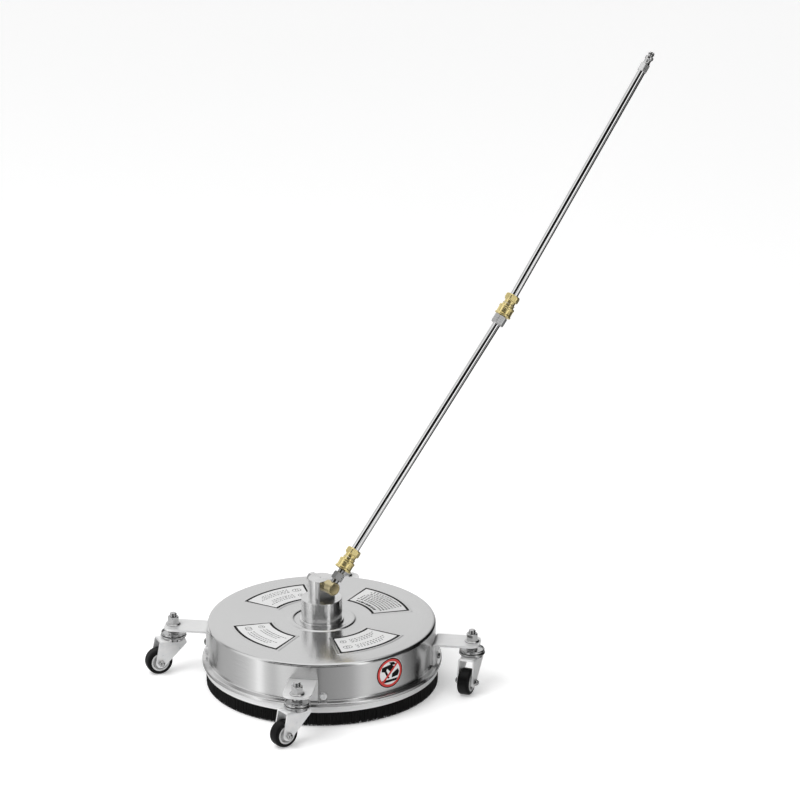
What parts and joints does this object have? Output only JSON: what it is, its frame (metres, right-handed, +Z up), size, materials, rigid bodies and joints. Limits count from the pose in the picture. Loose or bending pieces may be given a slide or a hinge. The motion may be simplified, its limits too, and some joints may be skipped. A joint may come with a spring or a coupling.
{
  "type": "flat surface cleaner",
  "caption": "Flat surface cleaner for a pressure washer: steel deck with brush skirt on swivel casters, rotary spray arm beneath, and a tilting two-piece lance with quick couplers.",
  "frame": {"origin": "middle of the whole object's footprint, on the floor", "axes": "+Z up; the caster arms lie along X and Y; the lance leans towards +X +Y"},
  "size_m": [0.7958, 0.7527, 0.9802],
  "materials": {
    "band_steel": "bright rolled",
    "barrel_brass": "machined",
    "bristles": "black nylon filament",
    "chrome_tube": "polished",
    "coupler_brass": "machined",
    "hub_plastic": "satin light grey",
    "machined_steel": "turned",
    "seal_rubber": "matt black",
    "stainless_sheet": "fine brushed",
    "tyre_rubber": "satin black",
    "zinc": "zinc plated"
  },
  "bodies": {
    "deck": {"deck_housing": "stainless_sheet", "brush_band": "band_steel", "bristle_skirt": "bristles", "arm_bolts": "zinc", "band_bolts": "zinc", "caster_arm_right": "stainless_sheet", "caster_arm_front": "stainless_sheet", "caster_arm_left": "stainless_sheet", "caster_arm_rear": "stainless_sheet", "caster_stem_right": "zinc", "caster_stem_front": "zinc", "caster_stem_left": "zinc", "caster_stem_rear": "zinc", "stem_nuts": "zinc", "hub_base_ring": "machined_steel", "hub_clamp_nut": "machined_steel", "hub_body": "machined_steel", "lower_bearing": "machined_steel", "upper_bearing": "machined_steel", "bearing_spacer": "machined_steel", "bearing_circlip": "machined_steel", "shaft_seal": "seal_rubber", "cross_pin": "machined_steel", "cross_pin_cap": "machined_steel"},
    "rotor": {"rotor_shaft": "machined_steel", "rotor_head": "machined_steel", "rotor_nut": "machined_steel", "spray_arm_a": "machined_steel", "nozzle_holder_a": "coupler_brass", "nozzle_a": "machined_steel", "spray_arm_b": "machined_steel", "nozzle_holder_b": "coupler_brass", "nozzle_b": "machined_steel"},
    "lance": {"swivel_barrel": "barrel_brass", "inlet_plug": "machined_steel", "lower_coupler_body": "coupler_brass", "lower_tube": "chrome_tube", "joint_plug": "machined_steel", "upper_coupler_body": "coupler_brass", "upper_tube": "chrome_tube", "tool_plug": "machined_steel"},
    "lower_sleeve": {"lower_coupler_sleeve": "coupler_brass"},
    "upper_sleeve": {"upper_coupler_sleeve": "coupler_brass"},
    "caster_right": {"caster_fork_right": "zinc", "axle_bolt_right": "zinc"},
    "wheel_right": {"wheel_hub_right": "hub_plastic", "tyre_right": "tyre_rubber"},
    "caster_front": {"caster_fork_front": "zinc", "axle_bolt_front": "zinc"},
    "wheel_front": {"wheel_hub_front": "hub_plastic", "tyre_front": "tyre_rubber"},
    "caster_left": {"caster_fork_left": "zinc", "axle_bolt_left": "zinc"},
    "wheel_left": {"wheel_hub_left": "hub_plastic", "tyre_left": "tyre_rubber"},
    "caster_rear": {"caster_fork_rear": "zinc", "axle_bolt_rear": "zinc"},
    "wheel_rear": {"wheel_hub_rear": "hub_plastic", "tyre_rear": "tyre_rubber"}
  },
  "joints": [
    {"name": "rotor_spin", "type": "hinge", "parent": "deck", "child": "rotor", "pos_m": [-0.0998, -0.0842, 0.052], "axis": [0, 0, 1], "continuous": true},
    {"name": "lance_tilt", "type": "hinge", "parent": "deck", "child": "lance", "pos_m": [-0.0812, -0.1028, 0.1737], "axis": [-0.7071, 0.7071, 0], "range_deg": [-130, 48]},
    {"name": "lower_sleeve_slide", "type": "slide", "parent": "lance", "child": "lower_sleeve", "axis": [0.4681, 0.4681, 0.7495], "range_m": [0, 0.004], "stiffness_N_per_m": 800, "springref_m": -0.002},
    {"name": "upper_sleeve_slide", "type": "slide", "parent": "lance", "child": "upper_sleeve", "axis": [0.4371, 0.4371, 0.7861], "range_m": [0, 0.004], "stiffness_N_per_m": 800, "springref_m": -0.002},
    {"name": "caster_swivel_right", "type": "hinge", "parent": "deck", "child": "caster_right", "pos_m": [0.1522, -0.0842, 0.064], "axis": [0, 0, 1], "continuous": true},
    {"name": "wheel_spin_right", "type": "hinge", "parent": "caster_right", "child": "wheel_right", "pos_m": [0.14659, -0.11061, 0.0225], "axis": [0.9781, -0.2079, 0], "continuous": true},
    {"name": "caster_swivel_front", "type": "hinge", "parent": "deck", "child": "caster_front", "pos_m": [-0.0998, -0.3362, 0.064], "axis": [0, 0, 1], "continuous": true},
    {"name": "wheel_spin_front", "type": "hinge", "parent": "caster_front", "child": "wheel_front", "pos_m": [-0.11889, -0.35529, 0.0225], "axis": [0.7071, -0.7071, 0], "continuous": true},
    {"name": "caster_swivel_left", "type": "hinge", "parent": "deck", "child": "caster_left", "pos_m": [-0.3518, -0.0842, 0.064], "axis": [0, 0, 1], "continuous": true},
    {"name": "wheel_spin_left", "type": "hinge", "parent": "caster_left", "child": "wheel_left", "pos_m": [-0.37518, -0.0977, 0.0225], "axis": [0.5, -0.866, 0], "continuous": true},
    {"name": "caster_swivel_rear", "type": "hinge", "parent": "deck", "child": "caster_rear", "pos_m": [-0.0998, 0.1678, 0.064], "axis": [0, 0, 1], "continuous": true},
    {"name": "wheel_spin_rear", "type": "hinge", "parent": "caster_rear", "child": "wheel_rear", "pos_m": [-0.11986, 0.14973, 0.0225], "axis": [0.6691, -0.7431, 0], "continuous": true}
  ]
}
